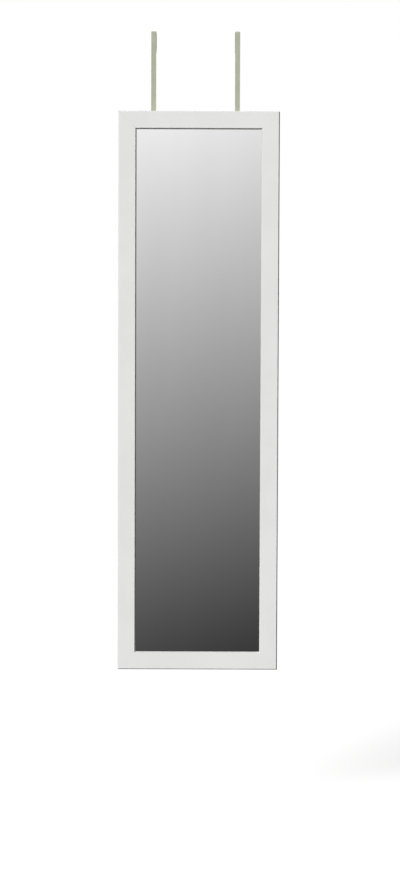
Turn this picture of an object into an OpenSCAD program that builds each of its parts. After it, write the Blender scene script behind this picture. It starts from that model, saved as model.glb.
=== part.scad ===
// Over-the-door mirror: a framed, full-length mirror that hangs from two flat steel hooks.
// Units are millimetres. The origin is on the top front edge of the door, on the frame's centre line:
// the door's front face is y = 0, its top edge is z = 0, and the mirror faces -Y.

/* [Frame] */
// Outside width of the frame
frame_w = 388; // [330:1:460]
// Outside height of the frame
frame_h = 1350; // [1000:5:1500]
// Width of each rail, seen from the front
rail_w = 43.5; // [40:0.5:60]
// Thickness of the rails, front to back
rail_t = 18; // [16:0.5:24]
// Width of the bevel along the front edges, seen from the front
bevel_w = 2.5; // [0.5:0.25:4]
// Depth of that bevel, front to back
bevel_d = 4.5; // [0.5:0.25:4.75]
// Width of the lip that laps over the glass
lip_w = 7; // [5:0.25:9]
// Thickness of that lip
lip_t = 6; // [5:0.25:7.5]
// Seam left at each mitre
mitre_seam = 0.05; // [0.05:0.05:0.4]

/* [Glass and back] */
// Thickness of the mirror glass
glass_t = 3; // [2:0.25:4]
// Room all round the glass, card and board in the rebate
rebate_play = 1.5; // [0.5:0.25:3]
// Thickness of the packing card behind the glass
card_t = 1; // [0.5:0.25:2]
// Thickness of the backing board
board_t = 3; // [2:0.25:4]
// Gap between one layer and the next
layer_gap = 0.1; // [0.05:0.05:0.2]

/* [Flexible points] */
// Width of a point
point_w = 6; // [4:0.5:8]
// Thickness of its steel
point_t = 0.5; // [0.4:0.05:0.6]
// Length driven into the rail
point_grip = 8; // [6:0.5:12]
// Length left standing over the board
point_reach = 9; // [6:0.5:14]
// Points on each long side
points_per_side = 6; // [4:1:8]
// Points on the top and on the bottom
points_per_end = 2; // [2:1:3]
// Distance from a rebate corner to the first point on a side
point_margin_side = 110; // [60:5:160]
// Distance from a rebate corner to the first point on an end
point_margin_end = 80; // [50:5:120]

/* [Corner nails] */
// Length of each leg of a V-nail
nail_leg = 9; // [6:0.5:10]
// Thickness of its steel
nail_t = 0.8; // [0.5:0.1:1.2]
// Height of a V-nail, the depth that it is driven
nail_h = 10; // [7:0.5:12]
// Half of the angle between its legs
nail_half_angle = 32; // [25:1:40]
// Distance along the mitre from the outside corner to the outer nail
nail_start = 18; // [16:0.5:20]
// Distance along the mitre between the two nails
nail_pitch = 18; // [14:0.5:20]
// Depth of a nail's top below the back of the frame
nail_sink = 0.4; // [0.2:0.1:1]

/* [Hooks] */
// Width of the flat steel
strap_w = 12; // [10:0.5:16]
// Thickness of the flat steel
strap_t = 1.5; // [1:0.25:2.5]
// Distance between the hooks, centre to centre
strap_spacing = 202; // [140:1:240]
// Distance that the pair of hooks sits to the left of the frame's centre line
hook_shift = 9; // [0:0.5:20]
// Length of strap that shows between the door's top and the frame
strap_drop = 191; // [120:1:260]
// Thickness of the door
door_t = 35; // [30:1:50]
// Room between the door and the pads
door_play = 1; // [0.5:0.25:3]
// Inside radius of the two bends over the door
bend_r = 1.5; // [1:0.25:2.5]
// Straight length of the leg behind the door
rear_leg = 36; // [33:1:60]
// Height of the flared tip of that leg
flare_h = 10; // [8:0.5:14]
// Inside radius of the curve that the tip flares along
flare_r = 18; // [16:1:30]

/* [Pads and bumpers] */
// Thickness of the felt pads inside the hooks
pad_t = 3; // [2.75:0.25:5]
// Distance from the door's top to the top of each pad
pad_start = 7; // [5:0.5:10]
// Length of the pad on the front of the door
front_pad_l = 45; // [20:1:80]
// Length of the pad behind the door
rear_pad_l = 25; // [15:0.5:25]
// Width left bare at each side of a pad
pad_inset = 0.5; // [0.25:0.25:1.5]
// Diameter of a bumper where it is stuck to the frame
bumper_d = 14; // [10:0.5:18]
// Radius of its rounded rim
bumper_rim_r = 1.5; // [0.5:0.25:2.5]
// Distance from the frame's side to a bumper's centre
bumper_side = 36; // [34:1:44]

/* [Clamp screws] */
// Diameter of the screws
screw_d = 4; // [3:0.25:4.25]
// Depth that they reach into the top rail
screw_grip = 12; // [8:0.5:13]
// Length of the pointed end
screw_point = 4; // [2:0.5:6]
// Diameter of the heads
head_d = 8; // [7:0.25:10]
// Height of the heads
head_h = 1.6; // [1.25:0.05:1.7]
// Diameter of the washers
washer_d = 10; // [8.5:0.25:11]
// Thickness of the washers
washer_t = 0.8; // [0.5:0.05:0.9]
// Distance from the frame's top edge to the upper screw
screw_edge = 9; // [8:0.5:10]
// Distance between the two screws of a hook
screw_pitch = 15; // [12:0.5:16]
// Width of the slot in the strap
slot_w = 4.75; // [4.75:0.25:6]
// Distance that the mirror can be lowered on its hooks
height_travel = 55; // [20:1:80]
// Room left in the slot past the screws at each end of the travel
slot_spare = 1; // [0.5:0.25:3]
// Metal left below the slot, at the end of the strap
strap_end = 6; // [4:0.5:12]

/* [Hidden] */
// Running gap on each side of the sliding strap
slide_gap = 0.1;
// Clearance all round steel that is driven or screwed into a rail
drive_gap = 0.05;
// Radius of a screw's blunt point
screw_tip_r = 0.4;
// How far a cutter runs past the face that it cuts
over = 1;
$fn = 64;

// Planes of the assembly, from the door forwards
strap_back = -pad_t;
strap_front = strap_back - strap_t;
frame_back = strap_front - slide_gap;
frame_front = frame_back - rail_t;
frame_top = -strap_drop;
frame_bottom = frame_top - frame_h;

// The rebate and the layers in it
solid_w = rail_w - lip_w;
rebate_side = frame_w / 2 - solid_w;
rebate_top = frame_top - solid_w;
rebate_bottom = frame_bottom + solid_w;
glass_front = frame_front + lip_t + layer_gap;
card_front = glass_front + glass_t + layer_gap;
board_front = card_front + card_t + layer_gap;
point_front = board_front + board_t + layer_gap;

// The hooks over the door, and the screws that clamp them
rear_inner = door_t + door_play + pad_t;
washer_back = strap_back + slide_gap + washer_t;
screw_z = [frame_top - screw_edge, frame_top - screw_edge - screw_pitch];
slot_top = screw_z[0] + slot_spare;
slot_bottom = screw_z[1] - height_travel - slot_spare;
strap_l = strap_end + slot_w / 2 - slot_bottom;

function hook_x(side) = side * strap_spacing / 2 - hook_shift;

// Even spacing of n places between two ends
function spread(from, to, n) = [for (i = [0:n - 1]) from + (to - from) * i / (n - 1)];

side_point_z = spread(rebate_bottom + point_margin_side, rebate_top - point_margin_side, points_per_side);
end_point_x = spread(-rebate_side + point_margin_end, rebate_side - point_margin_end, points_per_end);

// ---- Frame ----

// Section of a rail: x runs in from the outside edge, y runs back from the front face
module rail_section() {
    polygon([
        [bevel_w, 0], [rail_w - bevel_w, 0], [rail_w, bevel_d], [rail_w, lip_t],
        [solid_w, lip_t], [solid_w, rail_t], [0, rail_t], [0, bevel_d]
    ]);
}

// One length of moulding along Z, cut to a 45 degree mitre at both ends
module mitred_rail(length) {
    seam = mitre_seam / sqrt(2);
    intersection() {
        linear_extrude(length) rail_section();
        translate([0, rail_t + over, 0])
            rotate([90, 0, 0])
                linear_extrude(rail_t + 2 * over)
                    polygon([
                        [0, seam], [rail_w, rail_w + seam],
                        [rail_w, length - rail_w - seam], [0, length - seam]
                    ]);
    }
}

// A stile along the frame's left side
module stile() {
    translate([-frame_w / 2, frame_front, frame_bottom]) mitred_rail(frame_h);
}

// A rail along the frame's top edge
module rail() {
    translate([-frame_w / 2, frame_front, frame_top]) rotate([0, 90, 0]) mitred_rail(frame_w);
}

// Pockets for all that is driven or screwed into the frame from behind
module frame_pockets() {
    all_points(drive_gap);
    all_nails(drive_gap, nail_sink + over);
    for (side = [-1, 1]) clamp_pilots(side);
}

module left_stile() {
    color("#e1e1df") difference() {
        stile();
        frame_pockets();
    }
}

module right_stile() {
    color("#e1e1df") difference() {
        mirror([1, 0, 0]) stile();
        frame_pockets();
    }
}

module top_rail() {
    color("#e1e1df") difference() {
        rail();
        frame_pockets();
    }
}

module bottom_rail() {
    color("#e1e1df") difference() {
        translate([0, 0, frame_top + frame_bottom]) mirror([0, 0, 1]) rail();
        frame_pockets();
    }
}

// ---- Glass, card and board ----

// A flat sheet that fills the rebate, less its play all round
module rebate_sheet(front, thickness) {
    x = rebate_side - rebate_play;
    z = rebate_bottom + rebate_play;
    translate([-x, front, z]) cube([2 * x, thickness, rebate_top - rebate_play - z]);
}

module mirror_glass() {
    color("#c8ccce") rebate_sheet(glass_front, glass_t);
}

module packing_card() {
    color("#c9ab7c") rebate_sheet(card_front, card_t);
}

module backing_board() {
    color("#7a5638") rebate_sheet(board_front, board_t);
}

// ---- Flexible points ----

// Outline of a point with its tip along -X and x = 0 at the rebate wall; grow enlarges it for the kerf
module point_outline(grow) {
    half = point_w / 2 + grow;
    shoulder = point_w / 2 - point_grip;
    corner_r = point_w / 4;
    corner_x = point_reach - corner_r;
    polygon([[-point_grip - 2 * grow, 0], [shoulder, -half], [corner_x, -half], [corner_x, half], [shoulder, half]]);
    translate([corner_x, corner_r - half]) square([corner_r, 2 * (half - corner_r)]);
    for (s = [-1, 1]) translate([corner_x, s * (half - corner_r)]) circle(corner_r);
}

// One point on the rebate wall at x, z; turn is the direction that it stands out in
module point_at(x, z, turn, grow) {
    translate([x, point_front - grow, z])
        rotate([0, turn, 0])
            rotate([-90, 0, 0])
                linear_extrude(point_t + 2 * grow) point_outline(grow);
}

module all_points(grow) {
    for (z = side_point_z) {
        point_at(-rebate_side, z, 0, grow);
        point_at(rebate_side, z, 180, grow);
    }
    for (x = end_point_x) {
        point_at(x, rebate_top, 90, grow);
        point_at(x, rebate_bottom, -90, grow);
    }
}

module backing_points() {
    color("#9a9c9e") all_points(0);
}

// ---- Corner nails ----

// Plan of a V-nail, with its bend at the origin and its legs spreading along +Y
module nail_plan(grow) {
    for (s = [-1, 1])
        rotate(s * nail_half_angle)
            translate([-nail_t / 2 - grow, -grow])
                square([nail_t + 2 * grow, nail_leg + 2 * grow]);
}

// The two nails of the corner at x, z, whose mitre runs inwards along the turned -Z;
// grow and rise enlarge them for the pockets, which are open at the back
module corner_at(x, z, turn, grow, rise) {
    for (i = [0, 1])
        translate([x, frame_back - nail_sink + rise, z])
            rotate([0, turn, 0])
                translate([0, 0, -nail_start - i * nail_pitch])
                    rotate([90, 0, 0])
                        linear_extrude(nail_h + rise + grow) nail_plan(grow);
}

module all_nails(grow, rise) {
    x = frame_w / 2;
    corner_at(x, frame_top, 45, grow, rise);
    corner_at(-x, frame_top, -45, grow, rise);
    corner_at(x, frame_bottom, 135, grow, rise);
    corner_at(-x, frame_bottom, -135, grow, rise);
}

module corner_nails() {
    color("#9a9c9e") all_nails(0, 0);
}

// ---- Hooks ----

// A quarter turn of strap, seen from the side, from the +X axis to the +Y axis
module strap_bend(inner_r) {
    intersection() {
        difference() {
            circle(inner_r + strap_t);
            circle(inner_r);
        }
        square(inner_r + strap_t + over);
    }
}

// The bent strap, seen from the side: x runs back from the door's front face, y runs up
module strap_side() {
    translate([strap_front, -strap_l]) square([strap_t, strap_l - bend_r]);
    translate([strap_back + bend_r, -bend_r]) rotate(90) strap_bend(bend_r);
    translate([strap_back + bend_r, 0]) square([rear_inner - strap_back - 2 * bend_r, strap_t]);
    translate([rear_inner - bend_r, -bend_r]) strap_bend(bend_r);
    translate([rear_inner, -rear_leg]) square([strap_t, rear_leg - bend_r]);
    translate([rear_inner + strap_t + flare_r, -rear_leg]) rotate(180) strap_bend(flare_r);
}

// A strip with a round lower end, seen from behind, that reaches down to -length and up past the bends
module round_ended(length) {
    translate([0, strap_w / 2 - length]) circle(d = strap_w);
    translate([-strap_w / 2, strap_w / 2 - length]) square([strap_w, length - strap_w / 2 + strap_t + over]);
}

// Both legs' lengths and round ends, to cut the bent strap to: a slab for each, front and rear of the door
module leg_lengths() {
    front = strap_front - over;
    middle = rear_inner / 2;
    back = rear_inner + strap_t + flare_r;
    translate([0, middle, 0]) rotate([90, 0, 0]) linear_extrude(middle - front) round_ended(strap_l);
    translate([0, back, 0]) rotate([90, 0, 0]) linear_extrude(back - middle) round_ended(rear_leg + flare_h);
}

// The slot that the clamp screws run in
module clamp_slot() {
    translate([0, strap_front - over, 0])
        rotate([90, 0, 180])
            linear_extrude(strap_t + 2 * over) {
                translate([-slot_w / 2, slot_bottom]) square([slot_w, slot_top - slot_bottom]);
                for (z = [slot_top, slot_bottom]) translate([0, z]) circle(d = slot_w);
            }
}

module hook(side) {
    color("#b2b2a0") translate([hook_x(side), 0, 0]) difference() {
        intersection() {
            translate([-strap_w / 2, 0, 0]) rotate([90, 0, 90]) linear_extrude(strap_w) strap_side();
            leg_lengths();
        }
        clamp_slot();
    }
}

// ---- Pads ----

// A strip of felt stuck to the inside of a hook's leg, from y for its thickness
module pad(side, y, length) {
    width = strap_w - 2 * pad_inset;
    color("#8d8d89") translate([hook_x(side) - width / 2, y, -pad_start - length])
        cube([width, pad_t, length]);
}

module front_pad(side) {
    pad(side, strap_back, front_pad_l);
}

module rear_pad(side) {
    pad(side, rear_inner - pad_t, rear_pad_l);
}

// ---- Clamp screws and washers ----

// Pilot holes in the top rail for the two screws of a hook
module clamp_pilots(side) {
    for (z = screw_z)
        translate([hook_x(side), frame_back + over, z])
            rotate([90, 0, 0])
                cylinder(d = screw_d + 2 * drive_gap, h = screw_grip + over);
}

// Half section of a pan head, flat on top with a rounded rim
module head_section() {
    rim_r = head_h * 0.6;
    square([head_d / 2 - rim_r, head_h]);
    square([head_d / 2, head_h - rim_r]);
    translate([head_d / 2 - rim_r, head_h - rim_r]) intersection() {
        circle(rim_r);
        square(rim_r);
    }
}

// Cross recess in the top of a head
module cross_recess() {
    arm_l = head_d * 0.55;
    arm_w = head_d * 0.12;
    for (a = [0, 90])
        rotate(a)
            translate([-arm_l / 2, -arm_w / 2, head_h * 0.35])
                cube([arm_l, arm_w, head_h]);
}

// A pan-head screw with the underside of its head at z = 0 and its point along -Z
module clamp_screw() {
    length = screw_grip - drive_gap + washer_back - frame_back;
    shank_l = length - screw_point;
    difference() {
        rotate_extrude() head_section();
        cross_recess();
    }
    translate([0, 0, -shank_l]) cylinder(d = screw_d, h = shank_l);
    translate([0, 0, -length]) cylinder(r1 = screw_tip_r, d2 = screw_d, h = screw_point);
}

module clamp_screws(side) {
    color("#a4a6a8")
        for (z = screw_z)
            translate([hook_x(side), washer_back, z]) rotate([-90, 0, 0]) clamp_screw();
}

module clamp_washers(side) {
    color("#b4b6b8")
        for (z = screw_z)
            translate([hook_x(side), washer_back - washer_t, z])
                rotate([-90, 0, 0])
                    difference() {
                        cylinder(d = washer_d, h = washer_t);
                        translate([0, 0, -over])
                            cylinder(d = screw_d + 2 * drive_gap, h = washer_t + 2 * over);
                    }
}

// ---- Bumpers ----

// Half section of a rubber bumper, as tall as the space between the frame and the door
module bumper_section() {
    face_r = bumper_d / 2 - bumper_rim_r;
    wall_h = -frame_back - bumper_rim_r;
    square([bumper_d / 2, wall_h]);
    square([face_r, -frame_back]);
    translate([face_r, wall_h]) intersection() {
        circle(bumper_rim_r);
        square(bumper_rim_r);
    }
}

// A bumper behind the rail at z, towards one side of the frame
module bumper(side, z) {
    color("#3a3a3a")
        translate([side * (frame_w / 2 - bumper_side), frame_back, z])
            rotate([-90, 0, 0])
                rotate_extrude() bumper_section();
}

module top_bumper(side) {
    bumper(side, frame_top - solid_w / 2);
}

module bottom_bumper(side) {
    bumper(side, frame_bottom + solid_w / 2);
}

hook(-1);  // left_hook
hook(1);  // right_hook
front_pad(-1);  // left_front_pad
front_pad(1);  // right_front_pad
rear_pad(-1);  // left_rear_pad
rear_pad(1);  // right_rear_pad
top_rail();
bottom_rail();
left_stile();
right_stile();
mirror_glass();
packing_card();
backing_board();
backing_points();
corner_nails();
clamp_screws(-1);  // left_clamp_screws
clamp_screws(1);  // right_clamp_screws
clamp_washers(-1);  // left_clamp_washers
clamp_washers(1);  // right_clamp_washers
top_bumper(-1);  // top_left_bumper
top_bumper(1);  // top_right_bumper
bottom_bumper(-1);  // bottom_left_bumper
bottom_bumper(1);  // bottom_right_bumper
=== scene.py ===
from math import pi, radians

import bmesh
import bpy
from mathutils import Matrix, Vector, noise


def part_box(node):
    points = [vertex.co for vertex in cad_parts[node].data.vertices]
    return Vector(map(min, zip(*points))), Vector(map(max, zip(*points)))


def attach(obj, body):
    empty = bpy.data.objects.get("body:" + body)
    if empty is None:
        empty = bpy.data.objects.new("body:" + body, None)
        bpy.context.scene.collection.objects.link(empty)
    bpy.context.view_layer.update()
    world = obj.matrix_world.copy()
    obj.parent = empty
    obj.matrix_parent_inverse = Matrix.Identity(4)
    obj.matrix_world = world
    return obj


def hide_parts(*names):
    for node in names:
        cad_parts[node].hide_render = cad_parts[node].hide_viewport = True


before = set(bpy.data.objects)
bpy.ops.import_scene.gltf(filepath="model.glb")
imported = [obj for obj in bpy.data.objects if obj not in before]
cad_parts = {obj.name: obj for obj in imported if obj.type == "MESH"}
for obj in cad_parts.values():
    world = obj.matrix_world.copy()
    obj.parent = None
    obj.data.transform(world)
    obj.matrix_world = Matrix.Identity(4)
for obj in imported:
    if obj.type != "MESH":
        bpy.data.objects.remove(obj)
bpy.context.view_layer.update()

# An over-the-door mirror. The CAD part gives every size and place, in metres: x runs to the right, y
# from front to back, z up, from where the hooks' tops rest. Here the pieces get softened edges, felt
# and the finishes of the real materials, then a floor, light and a camera.

MM = 0.001
FRONT = Vector((0, -1, 0))
BACK = Vector((0, 1, 0))


# ---- Node and colour helpers ----

def linear(hex_colour):
    """An sRGB hex colour as linear red, green, blue and alpha."""
    parts = [int(hex_colour[i:i + 2], 16) / 255 for i in (1, 3, 5)]
    return [p / 12.92 if p <= 0.04045 else ((p + 0.055) / 1.055) ** 2.4 for p in parts] + [1.0]


def per_metre(size_mm):
    """The scale of a noise texture whose features are about size_mm across."""
    return 1 / (size_mm * MM)


def add_node(tree, kind, settings=None, links=None):
    """Adds a node. A setting goes to the input of that name or number, else to the node's own property;
    a link joins an output to the input of that name or number."""
    node = tree.nodes.new(kind)
    for key, value in (settings or {}).items():
        if isinstance(key, int) or key in node.inputs:
            node.inputs[key].default_value = value
        else:
            setattr(node, key, value)
    for key, source in (links or {}).items():
        tree.links.new(source, node.inputs[key])
    return node


def new_material(name, **surface_settings):
    """A material with one Principled surface: (material, its tree, the surface, Object coordinates)."""
    material = bpy.data.materials.new(name)
    material.use_nodes = True
    tree = material.node_tree
    surface = tree.nodes["Principled BSDF"]
    for socket, value in surface_settings.items():
        surface.inputs[socket.replace("_", " ")].default_value = value
    place = add_node(tree, "ShaderNodeTexCoord").outputs["Object"]
    return material, tree, surface, place


def two_tone(tree, surface, pattern, low, high, spread=(0.35, 0.65)):
    """Colours the surface from low to high as the pattern rises through the spread."""
    share = add_node(
        tree, "ShaderNodeMapRange", {"From Min": spread[0], "From Max": spread[1]}, {"Value": pattern}
    )
    # A Mix node takes its colours at inputs 6 and 7, and gives the mixed one at output 2
    colour = add_node(
        tree, "ShaderNodeMix", {"data_type": "RGBA", 6: linear(low), 7: linear(high)}, {0: share.outputs[0]}
    )
    tree.links.new(colour.outputs[2], surface.inputs["Base Color"])


def vary_roughness(tree, surface, pattern, low, high):
    """Lets the roughness wander between low and high with the pattern."""
    rough = add_node(
        tree, "ShaderNodeMapRange", {"From Min": 0.3, "From Max": 0.7, "To Min": low, "To Max": high},
        {"Value": pattern},
    )
    tree.links.new(rough.outputs[0], surface.inputs["Roughness"])


def emboss(tree, surface, pattern, depth_mm):
    """Raises the surface by the pattern, depth_mm from its lowest to its highest."""
    bump = add_node(tree, "ShaderNodeBump", {"Strength": 1.0, "Distance": depth_mm * MM}, {"Height": pattern})
    tree.links.new(bump.outputs["Normal"], surface.inputs["Normal"])


# ---- Finishes ----

def satin_white_foil():
    """Paper foil with a satin white lacquer, wrapped round the moulding under rollers: even and soft, with
    a grain that only shows as a slight unevenness of the sheen."""
    material, tree, surface, place = new_material("satin_white_foil", Roughness=0.42, IOR=1.5)
    cloud = add_node(tree, "ShaderNodeTexNoise", {"Scale": per_metre(70), "Detail": 3.0}, {"Vector": place})
    two_tone(tree, surface, cloud.outputs[0], "#dfdfdd", "#e2e2e0")
    sheen = add_node(tree, "ShaderNodeTexNoise", {"Scale": per_metre(9), "Detail": 4.0}, {"Vector": place})
    vary_roughness(tree, surface, sheen.outputs[0], 0.37, 0.47)
    # The paper's own grain is about 0.3 mm; it is drawn at 1.2 mm so that it shows close up
    grain = add_node(tree, "ShaderNodeTexNoise", {"Scale": per_metre(1.2), "Detail": 2.0}, {"Vector": place})
    emboss(tree, surface, grain.outputs[0], 0.02)
    return material


def raw_mdf():
    """Medium density fibreboard as the moulder leaves it: an even pale brown, dull, finely flecked."""
    material, tree, surface, place = new_material("raw_mdf", Roughness=0.85, IOR=1.45)
    fibres = add_node(
        tree, "ShaderNodeTexNoise", {"Scale": per_metre(1.3), "Detail": 6.0, "Roughness": 0.75},
        {"Vector": place},
    )
    two_tone(tree, surface, fibres.outputs[0], "#a08259", "#bb9c71")
    vary_roughness(tree, surface, fibres.outputs[0], 0.78, 0.92)
    emboss(tree, surface, fibres.outputs[0], 0.08)
    return material


def silvered_glass():
    """Float glass silvered on the back. All that the eye gets is the silver's clean reflection, with
    faint wipe marks in its sharpness."""
    material, tree, surface, place = new_material("silvered_float_glass", Metallic=1.0, Roughness=0.01)
    # The wipes run up and down, four times as long as wide
    wipes = add_node(tree, "ShaderNodeMapping", {"Scale": (1.0, 1.0, 0.25)}, {"Vector": place})
    marks = add_node(
        tree, "ShaderNodeTexNoise", {"Scale": per_metre(90), "Detail": 4.0}, {"Vector": wipes.outputs[0]}
    )
    two_tone(tree, surface, marks.outputs[0], "#f2f2f2", "#f4f4f4")
    vary_roughness(tree, surface, marks.outputs[0], 0.004, 0.016)
    return material


def ground_glass_edge():
    """The glass's edge, cut and then ground: grey-green and frosted."""
    material, tree, surface, place = new_material("ground_glass_edge", Roughness=0.4, IOR=1.52)
    grit = add_node(tree, "ShaderNodeTexNoise", {"Scale": per_metre(0.8), "Detail": 3.0}, {"Vector": place})
    two_tone(tree, surface, grit.outputs[0], "#5f8277", "#86a398")
    vary_roughness(tree, surface, grit.outputs[0], 0.35, 0.5)
    emboss(tree, surface, grit.outputs[0], 0.03)
    return material


def backing_paint():
    """Grey paint rolled over the silver to seal it: flat, with a faint orange peel."""
    material, tree, surface, place = new_material("mirror_backing_paint", Roughness=0.6, IOR=1.5)
    peel = add_node(tree, "ShaderNodeTexNoise", {"Scale": per_metre(3), "Detail": 2.0}, {"Vector": place})
    two_tone(tree, surface, peel.outputs[0], "#74787b", "#7f8386")
    emboss(tree, surface, peel.outputs[0], 0.03)
    return material


def packing_board():
    """Grey-brown packing card, pressed from waste paper: dull, flecked with fibres."""
    material, tree, surface, place = new_material("pressed_packing_card", Roughness=0.9, IOR=1.45)
    flecks = add_node(
        tree, "ShaderNodeTexNoise", {"Scale": per_metre(2), "Detail": 5.0, "Roughness": 0.7},
        {"Vector": place},
    )
    two_tone(tree, surface, flecks.outputs[0], "#b39468", "#d0b384")
    emboss(tree, surface, flecks.outputs[0], 0.05)
    return material


def screened_hardboard():
    """Hardboard pressed on a wire screen: dark brown, cloudy, with the screen's weave in its rough back."""
    material, tree, surface, place = new_material("screen_backed_hardboard", Roughness=0.8, IOR=1.45)
    fibres = add_node(
        tree, "ShaderNodeTexNoise", {"Scale": per_metre(2.5), "Detail": 8.0, "Roughness": 0.75},
        {"Vector": place},
    )
    vary_roughness(tree, surface, fibres.outputs[0], 0.72, 0.9)
    # The screen's wires are 1.5 mm apart; they are drawn at 3 mm so that they show close up.
    # A wave texture's bands repeat every 2 pi / 20 of its scale.
    bands = 2 * pi / 20 * per_metre(3)
    wires_up, wires_across = (
        add_node(
            tree, "ShaderNodeTexWave", {"bands_direction": axis, "Scale": bands, "Distortion": 0.4},
            {"Vector": place},
        ).outputs["Fac"]
        for axis in ("X", "Z")
    )
    weave = add_node(tree, "ShaderNodeMath", {"operation": "MINIMUM"}, {0: wires_up, 1: wires_across})
    weave_share, cloud_share = 0.5, 0.6  # how strongly each shows beside the fibres
    rough_weave = add_node(
        tree, "ShaderNodeMath", {"operation": "MULTIPLY_ADD", 1: weave_share},
        {0: weave.outputs[0], 2: fibres.outputs[0]},
    )
    cloud = add_node(tree, "ShaderNodeTexNoise", {"Scale": per_metre(60), "Detail": 3.0}, {"Vector": place})
    mottle = add_node(
        tree, "ShaderNodeMath", {"operation": "MULTIPLY_ADD", 1: cloud_share},
        {0: cloud.outputs[0], 2: rough_weave.outputs[0]},
    )
    two_tone(tree, surface, mottle.outputs[0], "#62432a", "#80593a", spread=(0.7, 1.3))
    emboss(tree, surface, rough_weave.outputs[0], 0.35)
    return material


def powder_coated_steel():
    """Warm grey powder coat baked on flat steel: satin, with the fine orange peel of melted powder."""
    material, tree, surface, place = new_material("powder_coated_steel", Roughness=0.5, IOR=1.5)
    cloud = add_node(tree, "ShaderNodeTexNoise", {"Scale": per_metre(25), "Detail": 3.0}, {"Vector": place})
    two_tone(tree, surface, cloud.outputs[0], "#abab99", "#b0b09e")
    # Real orange peel is 1 mm or less; it is drawn at 2 mm so that it shows
    peel = add_node(tree, "ShaderNodeTexNoise", {"Scale": per_metre(2), "Detail": 2.0}, {"Vector": place})
    vary_roughness(tree, surface, peel.outputs[0], 0.44, 0.56)
    emboss(tree, surface, peel.outputs[0], 0.04)
    return material


def bright_zinc():
    """Stamped and turned steel, barrel plated with bright zinc: cool silver, a little cloudy."""
    material, tree, surface, place = new_material("bright_zinc_plate", Metallic=1.0, Roughness=0.3)
    cloud = add_node(tree, "ShaderNodeTexNoise", {"Scale": per_metre(2.5), "Detail": 4.0}, {"Vector": place})
    two_tone(tree, surface, cloud.outputs[0], "#b3b7bb", "#d3d6d8")
    vary_roughness(tree, surface, cloud.outputs[0], 0.22, 0.42)
    return material


def wool_felt():
    """Pressed grey wool felt, cut in strips: matt, mottled by matted fibres that lie every way."""
    material, tree, surface, place = new_material(
        "pressed_wool_felt", Roughness=0.95, IOR=1.4, Sheen_Weight=0.25, Sheen_Roughness=0.5
    )
    # The fibres are 0.03 mm thick; they are drawn as tufts of 1 mm so that they show
    nap = add_node(
        tree, "ShaderNodeTexNoise",
        {"Scale": per_metre(1), "Detail": 6.0, "Roughness": 0.65, "Distortion": 1.8}, {"Vector": place},
    )
    two_tone(tree, surface, nap.outputs[0], "#72726e", "#92928e")
    emboss(tree, surface, nap.outputs[0], 0.2)
    return material


def moulded_rubber():
    """Black rubber from a spark-eroded mould: dull charcoal, faintly pebbled."""
    material, tree, surface, place = new_material("moulded_rubber", Roughness=0.7, IOR=1.52)
    pebbles = add_node(
        tree, "ShaderNodeTexNoise", {"Scale": per_metre(0.7), "Detail": 2.0}, {"Vector": place}
    )
    two_tone(tree, surface, pebbles.outputs[0], "#2f2f2f", "#414141")
    vary_roughness(tree, surface, pebbles.outputs[0], 0.62, 0.8)
    emboss(tree, surface, pebbles.outputs[0], 0.05)
    return material


FOIL = satin_white_foil()
MDF = raw_mdf()
SILVER = silvered_glass()
GLASS_EDGE = ground_glass_edge()
BACKING_PAINT = backing_paint()
CARD = packing_board()
HARDBOARD = screened_hardboard()
COATED_STEEL = powder_coated_steel()
ZINC = bright_zinc()
FELT = wool_felt()
RUBBER = moulded_rubber()


# ---- Making pieces ----

SAME_POINT = 0.001 * MM
SAME_PLANE = radians(0.5)
SOFT_BELOW = radians(40)  # an edge that turns by less is shaded as part of a curve


def cad_solid(node):
    """A CAD node as a bmesh, its loose triangles merged and its flat faces made whole."""
    solid = bmesh.new()
    solid.from_mesh(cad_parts[node].data)
    bmesh.ops.remove_doubles(solid, verts=solid.verts, dist=SAME_POINT)
    bmesh.ops.dissolve_limit(solid, angle_limit=SAME_PLANE, verts=solid.verts, edges=solid.edges)
    solid.normal_update()
    return solid


def block(low, high):
    """A bmesh block from its lowest to its highest corner."""
    solid = bmesh.new()
    bmesh.ops.create_cube(solid, size=1)
    bmesh.ops.scale(solid, vec=high - low, verts=solid.verts)
    bmesh.ops.translate(solid, vec=(low + high) / 2, verts=solid.verts)
    return solid


def soften(solid, edges, radius_mm, segments=2):
    """Rounds these edges as the real ones are broken, rolled or coated over."""
    bmesh.ops.bevel(
        solid, geom=list(edges), offset=radius_mm * MM, offset_type="OFFSET", segments=segments,
        profile=0.5, affect="EDGES", material=-1,
    )


def sharp_edges(solid, least_angle=30):
    """The convex edges that turn by more than least_angle degrees."""
    return [
        e for e in solid.edges
        if len(e.link_faces) == 2 and e.is_convex and e.calc_face_angle() > radians(least_angle)
    ]


def finish_piece(name, solid, materials, body, node):
    """Makes the bmesh an object that stands for the CAD node and rides on the body."""
    mesh = bpy.data.meshes.new(name)
    solid.to_mesh(mesh)
    solid.free()
    for material in materials:
        mesh.materials.append(material)
    mesh.shade_smooth()
    mesh.set_sharp_from_angle(angle=SOFT_BELOW)
    piece = bpy.data.objects.new(name, mesh)
    bpy.context.scene.collection.objects.link(piece)
    flats = piece.modifiers.new("flat_faces_stay_flat", "WEIGHTED_NORMAL")
    flats.keep_sharp = True
    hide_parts(node)
    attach(piece, body)
    return piece


# ---- The frame's mouldings ----

GLASS_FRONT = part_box("mirror_glass")[0].y
NEAR = 0.1 * MM
SHORTEST_EDGE = 3 * MM
# Cosines with a direction: of a face turned to it at all, of one square to it, of an edge along it
ANY_SLOPE, SQUARE, PARALLEL = 0.1, 0.99, 0.999


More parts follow.
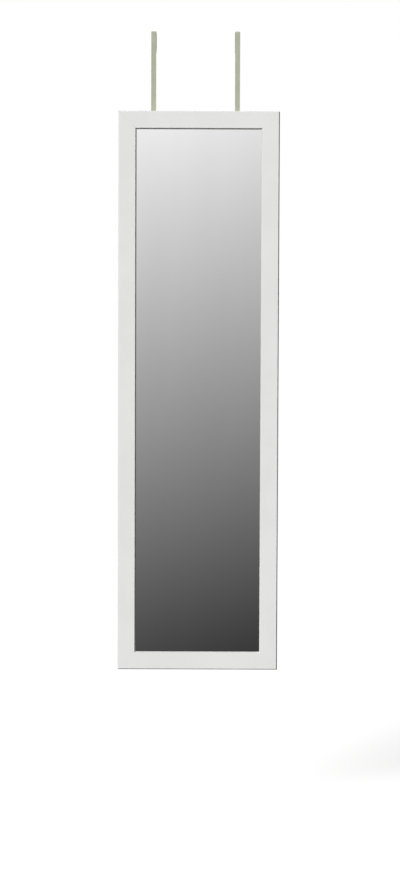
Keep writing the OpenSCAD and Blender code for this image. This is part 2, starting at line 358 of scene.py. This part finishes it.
def moulding(node, outward):
    """A rail or stile: foil on its front, outside and lip; bare board in the rebate, behind and at the
    mitres. Its long corners have the small radius that the foil is rolled over."""
    solid = cad_solid(node)
    low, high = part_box(node)
    outward = Vector(outward)
    along = outward.cross(BACK)
    outside = max(low.dot(outward), high.dot(outward))
    inside = min(low.dot(outward), high.dot(outward))

    for face in solid.faces:
        centre = face.calc_center_median()
        in_lip = centre.y < GLASS_FRONT
        on_front = face.normal.dot(FRONT) > ANY_SLOPE and in_lip
        on_outside = face.normal.dot(outward) > SQUARE and abs(centre.dot(outward) - outside) < NEAR
        on_lip = face.normal.dot(outward) < -SQUARE and in_lip
        face.material_index = 0 if on_front or on_outside or on_lip else 1

    def is_corner(edge):
        a, b = (v.co for v in edge.verts)
        middle = (a + b) / 2
        across = middle.dot(outward)
        lengthwise = (b - a).length > SHORTEST_EDGE and abs((b - a).normalized().dot(along)) > PARALLEL
        at_face = min(abs(middle.y - low.y), abs(middle.y - high.y)) < NEAR
        at_side = min(abs(across - outside), abs(across - inside)) < NEAR
        return lengthwise and (at_face or at_side)

    corners = [e for e in sharp_edges(solid, least_angle=20) if is_corner(e)]
    soften(solid, corners, radius_mm=0.3)
    finish_piece(node + "_moulding", solid, [FOIL, MDF], "mirror", node)


moulding("top_rail", (0, 0, 1))
moulding("bottom_rail", (0, 0, -1))
moulding("left_stile", (-1, 0, 0))
moulding("right_stile", (1, 0, 0))


# ---- Mirror and back panel ----

def mirror_pane():
    """The glass, with a ground arris all round: silver shows in front, paint behind, bare glass between."""
    solid = block(*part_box("mirror_glass"))
    soften(solid, solid.edges, radius_mm=0.6, segments=1)
    for face in solid.faces:
        face.material_index = 0 if face.normal.y < -SQUARE else 1 if face.normal.y > SQUARE else 2
    pane = finish_piece(
        "mirror_pane", solid, [SILVER, BACKING_PAINT, GLASS_EDGE], "mirror", "mirror_glass"
    )
    # It throws no lamp light back on the frame, whose bevels would lose their thin dark lines
    pane.visible_diffuse = False


def back_panel():
    """The hardboard back, its sawn edges a little worn."""
    solid = block(*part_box("backing_board"))
    soften(solid, solid.edges, radius_mm=0.4)
    finish_piece("back_panel", solid, [HARDBOARD], "mirror", "backing_board")


mirror_pane()
back_panel()


# ---- Hooks ----

for side in ("left", "right"):
    strap = cad_solid(side + "_hook")
    soften(strap, sharp_edges(strap), radius_mm=0.25)
    finish_piece(side + "_strap", strap, [COATED_STEEL], "door_hooks", side + "_hook")


ROW_HEIGHT_MM = 1.5
ROWS_ACROSS = 8
LUMP_DEPTH_MM = 0.22
LUMP_SIZE_MM = 4
GLUED_DEPTH = 0.2 * MM  # what lies this close to the glue keeps still


def divide(solid, place, direction):
    """Splits the faces along a plane, so that they have points there to be uneven with."""
    everything = solid.verts[:] + solid.edges[:] + solid.faces[:]
    bmesh.ops.bisect_plane(solid, geom=everything, plane_co=place, plane_no=direction)


def felt_strip(node, glued):
    """A strip of felt cut with a knife: soft corners and a slightly uneven nap. The side that is glued to
    the strap stays flat: its front for glued=-1, its back for glued=1."""
    low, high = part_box(node)
    strip = block(low, high)
    soften(strip, strip.edges, radius_mm=0.6)
    for i in range(1, round((high.z - low.z) / (ROW_HEIGHT_MM * MM))):
        divide(strip, (0, 0, low.z + i * ROW_HEIGHT_MM * MM), (0, 0, 1))
    for i in range(1, ROWS_ACROSS):
        divide(strip, (low.x + (high.x - low.x) * i / ROWS_ACROSS, 0, 0), (1, 0, 0))
    # The cuts leave the faces in an order that varies; this one is the same each run
    strip.verts.index_update()
    strip.faces.sort(key=lambda face: face.verts[0].index * len(strip.verts) + face.verts[1].index)
    strip.normal_update()
    glue_face = high.y if glued > 0 else low.y
    for vert in strip.verts:
        if abs(vert.co.y - glue_face) > GLUED_DEPTH:
            lump = 0.5 + 0.5 * noise.noise(vert.co * per_metre(LUMP_SIZE_MM))
            vert.co -= vert.normal * LUMP_DEPTH_MM * MM * lump
    piece = finish_piece(node + "_felt", strip, [FELT], "door_hooks", node)


for side in ("left", "right"):
    felt_strip(side + "_front_pad", glued=-1)
    felt_strip(side + "_rear_pad", glued=1)


# ---- CAD nodes that keep their own shape ----

KEPT = {
    "packing_card": CARD,
    "backing_points": ZINC,
    "corner_nails": ZINC,
    "left_clamp_screws": ZINC,
    "right_clamp_screws": ZINC,
    "left_clamp_washers": ZINC,
    "right_clamp_washers": ZINC,
    "top_left_bumper": RUBBER,
    "top_right_bumper": RUBBER,
    "bottom_left_bumper": RUBBER,
    "bottom_right_bumper": RUBBER,
}
for node, material in KEPT.items():
    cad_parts[node].data.materials.clear()
    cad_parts[node].data.materials.append(material)


# ---- Floor ----

FLOOR_Z = -1.981  # the hooks' tops are 1.98 m up, as such mirrors hang
FLOOR_RADIUS = 7.0
PAPER_GLOW = 1.12  # with the lit part, a little over white, so that the sweep has no edge
GLOW_SHARE = 0.6


def studio_floor():
    """A sweep of white paper, part lit by the lamps and part by itself, so that it renders white and the
    object's shadow on it stays faint. Only the camera sees it, from above: it throws no light back and
    leaves the reflections to the world."""
    material = bpy.data.materials.new("pale_paper_sweep")
    material.use_nodes = True
    tree = material.node_tree
    tree.nodes.remove(tree.nodes["Principled BSDF"])
    rays = add_node(tree, "ShaderNodeLightPath")
    side = add_node(tree, "ShaderNodeNewGeometry")
    seen = add_node(
        tree, "ShaderNodeMath", {"operation": "SUBTRACT", "use_clamp": True},
        {0: rays.outputs["Is Camera Ray"], 1: side.outputs["Backfacing"]},
    )
    clear = add_node(tree, "ShaderNodeBsdfTransparent")
    paper = add_node(tree, "ShaderNodeBsdfDiffuse", {"Color": linear("#ffffff")})
    glow = add_node(tree, "ShaderNodeEmission", {"Color": linear("#ffffff"), "Strength": PAPER_GLOW})
    lit_paper = add_node(
        tree, "ShaderNodeMixShader", {"Fac": GLOW_SHARE}, {1: paper.outputs[0], 2: glow.outputs[0]}
    )
    shown = add_node(
        tree, "ShaderNodeMixShader", None, {0: seen.outputs[0], 1: clear.outputs[0], 2: lit_paper.outputs[0]}
    )
    tree.links.new(shown.outputs[0], tree.nodes["Material Output"].inputs["Surface"])
    return material


sweep = bmesh.new()
bmesh.ops.create_circle(sweep, cap_ends=True, segments=96, radius=FLOOR_RADIUS)
bmesh.ops.translate(sweep, vec=(0, 0, FLOOR_Z), verts=sweep.verts)
floor_mesh = bpy.data.meshes.new("floor")
sweep.to_mesh(floor_mesh)
sweep.free()
floor_mesh.materials.append(studio_floor())
floor = bpy.data.objects.new("floor", floor_mesh)
bpy.context.scene.collection.objects.link(floor)


# ---- Light ----

SUN_WIDTH = radians(16)


def soft_sun(name, towards, level):
    """A broad, even light from far off. The level is how white it makes a white surface that faces it. It
    makes no glints, which would wash out the hooks' tops: what shines reflects the world alone."""
    lamp = bpy.data.lights.new(name, "SUN")
    lamp.energy = level * pi
    lamp.angle = SUN_WIDTH
    sun = bpy.data.objects.new(name, lamp)
    sun.rotation_mode = "QUATERNION"
    sun.rotation_quaternion = Vector(towards).to_track_quat("Z", "Y")
    sun.visible_glossy = False
    bpy.context.scene.collection.objects.link(sun)


# The key comes from the upper left in front, so that bevels that face right or down turn dark
soft_sun("key_light", (-0.6, -1, 0.5), 1.216)
# The back gets its own light, from where none of the front's bevels see it
soft_sun("back_light", (0.36, 1, 0.3), 1.08)
# A little from straight above and from the floor lifts what faces up or down
soft_sun("top_light", (0, 0, 1), 0.1)
soft_sun("floor_bounce", (0, 0, -1), 0.06)


# What shiny things reflect. Each level is a brightness as the eye sees it, a share of sRGB white, and
# x, y and z are the parts of a direction: to the right, to the back and up.
AHEAD_LEVEL, AHEAD_RISE = 0.584, 2.453  # straight ahead, at the horizon, and its change with z
LEFT_RISE, LEFT_SPAN = 0.04, 0.05  # brighter to the left, darker to the right, by so much over this x
SIDE_LEVEL, SIDE_RISE = 0.72, 0.45  # to the sides and behind
AHEAD_Y, ASIDE_Y = -0.98, -0.85  # between these what lies ahead turns into the sides
FLOOR_LEVEL, FLOOR_RISE = -0.14, -1.6  # the pale floor in front and at the sides
FLOOR_END_Y = 0.4  # it is gone behind here
FLOOR_BLEND = 0.15  # how softly it meets the rest
BRIGHTEST = 0.93
EYE_TO_LIGHT = 1.9  # the power that turns such a brightness into light
SILVER_LOSS = 1.1  # makes up for what the silver swallows
FILL_LEVEL = 0.06  # the light on matt surfaces, which has no direction


def studio_world():
    """White for the camera; a dim even fill on matt surfaces; and for reflections a brightness that
    straight ahead falls from above towards the floor, a little stronger on the left, as the mirror
    shows it."""
    world = bpy.data.worlds.new("studio")
    bpy.context.scene.world = world
    world.use_nodes = True
    tree = world.node_tree
    tree.nodes.clear()
    rays = add_node(tree, "ShaderNodeLightPath")
    direction = add_node(tree, "ShaderNodeTexCoord").outputs["Generated"]
    x, y, z = add_node(tree, "ShaderNodeSeparateXYZ", None, {0: direction}).outputs

    # Straight ahead it gets brighter steeply through the horizon ...
    rise = add_node(
        tree, "ShaderNodeMath", {"operation": "MULTIPLY_ADD", 1: AHEAD_RISE, 2: AHEAD_LEVEL}, {0: z}
    )
    left = add_node(
        tree, "ShaderNodeMapRange",
        {"From Min": -LEFT_SPAN, "From Max": LEFT_SPAN, "To Min": LEFT_RISE, "To Max": -LEFT_RISE},
        {"Value": x},
    )
    ahead = add_node(
        tree, "ShaderNodeMath", {"operation": "ADD", "use_clamp": True},
        {0: rise.outputs[0], 1: left.outputs[0]},
    )
    # ... to the sides and behind it is bright all round, most of all above ...
    sides = add_node(
        tree, "ShaderNodeMath", {"operation": "MULTIPLY_ADD", 1: SIDE_RISE, 2: SIDE_LEVEL}, {0: z}
    )
    aside = add_node(tree, "ShaderNodeMapRange", {"From Min": AHEAD_Y, "From Max": ASIDE_Y}, {"Value": y})
    all_round = add_node(
        tree, "ShaderNodeMix", None,
        {"Factor": aside.outputs[0], "A": ahead.outputs[0], "B": sides.outputs[0]},
    )
    # ... and further down it is bright again, with the pale floor
    below = add_node(
        tree, "ShaderNodeMath", {"operation": "MULTIPLY_ADD", 1: FLOOR_RISE, 2: FLOOR_LEVEL}, {0: z}
    )
    behind = add_node(tree, "ShaderNodeMapRange", {"From Min": 0.0, "From Max": FLOOR_END_Y}, {"Value": y})
    floor_glow = add_node(
        tree, "ShaderNodeMath", {"operation": "SUBTRACT"}, {0: below.outputs[0], 1: behind.outputs[0]}
    )
    lit = add_node(
        tree, "ShaderNodeMath", {"operation": "SMOOTH_MAX", 2: FLOOR_BLEND},
        {0: all_round.outputs[0], 1: floor_glow.outputs[0]},
    )
    capped = add_node(tree, "ShaderNodeMath", {"operation": "MINIMUM", 1: BRIGHTEST}, {0: lit.outputs[0]})
    light = add_node(tree, "ShaderNodeMath", {"operation": "POWER", 1: EYE_TO_LIGHT}, {0: capped.outputs[0]})

    reflected = add_node(tree, "ShaderNodeBackground", {"Strength": SILVER_LOSS}, {"Color": light.outputs[0]})
    fill = add_node(tree, "ShaderNodeBackground", {"Color": linear("#ffffff"), "Strength": FILL_LEVEL})
    white = add_node(tree, "ShaderNodeBackground", {"Color": linear("#ffffff"), "Strength": 1.0})
    for_surfaces = add_node(
        tree, "ShaderNodeMixShader", None,
        {0: rays.outputs["Is Glossy Ray"], 1: fill.outputs[0], 2: reflected.outputs[0]},
    )
    clear_view = add_node(
        tree, "ShaderNodeMath", {"operation": "MAXIMUM"},
        {0: rays.outputs["Is Camera Ray"], 1: rays.outputs["Is Transmission Ray"]},
    )
    shown = add_node(
        tree, "ShaderNodeMixShader", None,
        {0: clear_view.outputs[0], 1: for_surfaces.outputs[0], 2: white.outputs[0]},
    )
    add_node(tree, "ShaderNodeOutputWorld", None, {"Surface": shown.outputs[0]})


studio_world()


# ---- Camera ----

# The photograph is taken from 4.5 m, straight in front and a little above the mirror's middle
EYE = (-0.004, -4.4986, -0.8084)
TURN_RIGHT, TILT_DOWN, ROLL = radians(0.112), radians(2.453), radians(0.21)
FOCAL_PX, PICTURE_H_PX, SENSOR = 1851.8, 895, 36.0

camera_data = bpy.data.cameras.new("camera")
camera_data.sensor_width = SENSOR
camera_data.lens = SENSOR * FOCAL_PX / PICTURE_H_PX
camera_data.clip_end = 100
camera = bpy.data.objects.new("camera", camera_data)
camera.matrix_world = (
    Matrix.Translation(EYE)
    @ Matrix.Rotation(-TURN_RIGHT, 4, "Z")
    @ Matrix.Rotation(pi / 2 - TILT_DOWN, 4, "X")
    @ Matrix.Rotation(ROLL, 4, "Z")
)
bpy.context.scene.collection.objects.link(camera)
bpy.context.scene.camera = camera
bpy.context.scene.view_settings.view_transform = "Standard"
